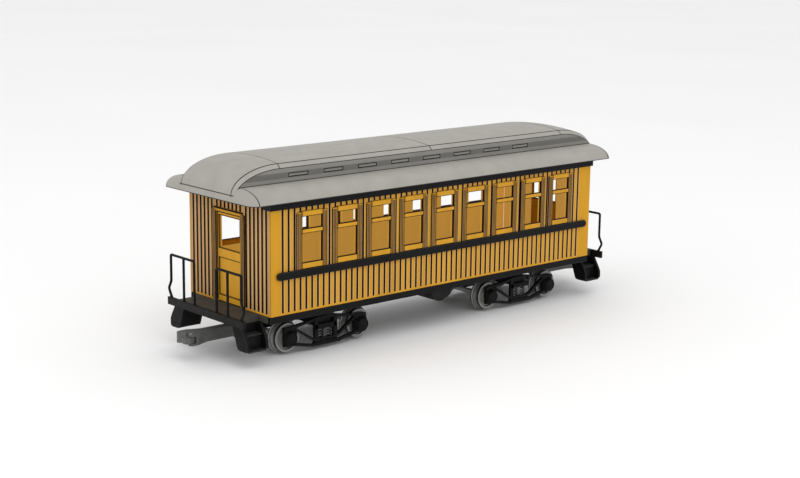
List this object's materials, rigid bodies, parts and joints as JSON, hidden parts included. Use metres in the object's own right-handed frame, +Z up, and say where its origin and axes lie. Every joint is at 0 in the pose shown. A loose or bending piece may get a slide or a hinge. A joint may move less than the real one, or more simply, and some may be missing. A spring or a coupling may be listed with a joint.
{
  "type": "model passenger coach",
  "caption": "Model railway passenger coach with board sides, clerestory roof, open end platforms with railings and steps, swivelling trucks, couplers and opening end doors.",
  "frame": {"origin": "under the middle of the coach, level with the lowest points of the wheel flanges", "axes": "+X along the coach towards the far end, +Y across it towards the left side, +Z up"},
  "size_m": [0.3252, 0.0886, 0.1129],
  "materials": {
    "wall_yellow": "satin golden yellow paint over moulded boards",
    "roof_grey": "matt warm grey",
    "black_trim": "satin black",
    "frame_grey": "matt dark grey",
    "wheel_metal": "cast and turned metal, mid grey",
    "coupler_metal": "cast metal, mid grey",
    "pin_steel": "plain steel"
  },
  "bodies": {
    "coach_body": {"underframe": "frame_grey", "underfloor_tank": "frame_grey", "side_sill_right": "black_trim", "side_wall_right": "wall_yellow", "belt_rail_right": "black_trim", "letterboard_right": "black_trim", "lower_roof_right": "roof_grey", "side_sill_left": "black_trim", "side_wall_left": "wall_yellow", "belt_rail_left": "black_trim", "letterboard_left": "black_trim", "lower_roof_left": "roof_grey", "end_beam_near": "frame_grey", "end_wall_near": "wall_yellow", "clerestory_roof_near": "roof_grey", "kingpin_near": "pin_steel", "railing_near_right": "black_trim", "steps_near_right": "black_trim", "railing_near_left": "black_trim", "steps_near_left": "black_trim", "end_beam_far": "frame_grey", "end_wall_far": "wall_yellow", "clerestory_roof_far": "roof_grey", "kingpin_far": "pin_steel", "railing_far_right": "black_trim", "steps_far_right": "black_trim", "railing_far_left": "black_trim", "steps_far_left": "black_trim"},
    "door_near": {"end_door_near": "wall_yellow"},
    "truck_near": {"truck_bolster_near": "black_trim", "coupler_pin_near": "pin_steel", "side_frame_near_right": "black_trim", "journal_near_right_outer": "black_trim", "journal_near_right_inner": "black_trim", "side_frame_near_left": "black_trim", "journal_near_left_outer": "black_trim", "journal_near_left_inner": "black_trim"},
    "axle_near_outer": {"wheelset_near_outer": "wheel_metal"},
    "axle_near_inner": {"wheelset_near_inner": "wheel_metal"},
    "drawbar_near": {"coupler_near": "coupler_metal", "knuckle_pin_near": "pin_steel"},
    "jaw_near": {"knuckle_near": "coupler_metal"},
    "door_far": {"end_door_far": "wall_yellow"},
    "truck_far": {"truck_bolster_far": "black_trim", "coupler_pin_far": "pin_steel", "side_frame_far_right": "black_trim", "journal_far_right_outer": "black_trim", "journal_far_right_inner": "black_trim", "side_frame_far_left": "black_trim", "journal_far_left_outer": "black_trim", "journal_far_left_inner": "black_trim"},
    "axle_far_outer": {"wheelset_far_outer": "wheel_metal"},
    "axle_far_inner": {"wheelset_far_inner": "wheel_metal"},
    "drawbar_far": {"coupler_far": "coupler_metal", "knuckle_pin_far": "pin_steel"},
    "jaw_far": {"knuckle_far": "coupler_metal"}
  },
  "joints": [
    {"name": "truck_swivel_near", "type": "hinge", "parent": "coach_body", "child": "truck_near", "pos_m": [-0.0797, 0, 0.0168], "axis": [0, 0, 1], "range_deg": [-12, 12]},
    {"name": "wheels_roll_near_outer", "type": "hinge", "parent": "truck_near", "child": "axle_near_outer", "pos_m": [-0.1059, 0, 0.0103], "axis": [0, 1, 0], "continuous": true},
    {"name": "wheels_roll_near_inner", "type": "hinge", "parent": "truck_near", "child": "axle_near_inner", "pos_m": [-0.0535, 0, 0.0103], "axis": [0, 1, 0], "continuous": true},
    {"name": "coupler_swing_near", "type": "hinge", "parent": "truck_near", "child": "drawbar_near", "pos_m": [-0.1195, 0, 0.0119], "axis": [0, 0, 1], "range_deg": [-8, 8]},
    {"name": "knuckle_open_near", "type": "hinge", "parent": "drawbar_near", "child": "jaw_near", "pos_m": [-0.1581, -0.0044, 0.01395], "axis": [0, 0, 1], "range_deg": [0, 40]},
    {"name": "door_open_near", "type": "hinge", "parent": "coach_body", "child": "door_near", "pos_m": [-0.12755, -0.0109, 0.055], "axis": [0, 0, -1], "range_deg": [0, 90]},
    {"name": "truck_swivel_far", "type": "hinge", "parent": "coach_body", "child": "truck_far", "pos_m": [0.0797, 0, 0.0168], "axis": [0, 0, 1], "range_deg": [-12, 12]},
    {"name": "wheels_roll_far_outer", "type": "hinge", "parent": "truck_far", "child": "axle_far_outer", "pos_m": [0.1059, 0, 0.0103], "axis": [0, 1, 0], "continuous": true},
    {"name": "wheels_roll_far_inner", "type": "hinge", "parent": "truck_far", "child": "axle_far_inner", "pos_m": [0.0535, 0, 0.0103], "axis": [0, 1, 0], "continuous": true},
    {"name": "coupler_swing_far", "type": "hinge", "parent": "truck_far", "child": "drawbar_far", "pos_m": [0.1195, 0, 0.0119], "axis": [0, 0, 1], "range_deg": [-8, 8]},
    {"name": "knuckle_open_far", "type": "hinge", "parent": "drawbar_far", "child": "jaw_far", "pos_m": [0.1581, 0.0044, 0.01395], "axis": [0, 0, 1], "range_deg": [0, 40]},
    {"name": "door_open_far", "type": "hinge", "parent": "coach_body", "child": "door_far", "pos_m": [0.12755, 0.0109, 0.055], "axis": [0, 0, -1], "range_deg": [0, 90]}
  ]
}
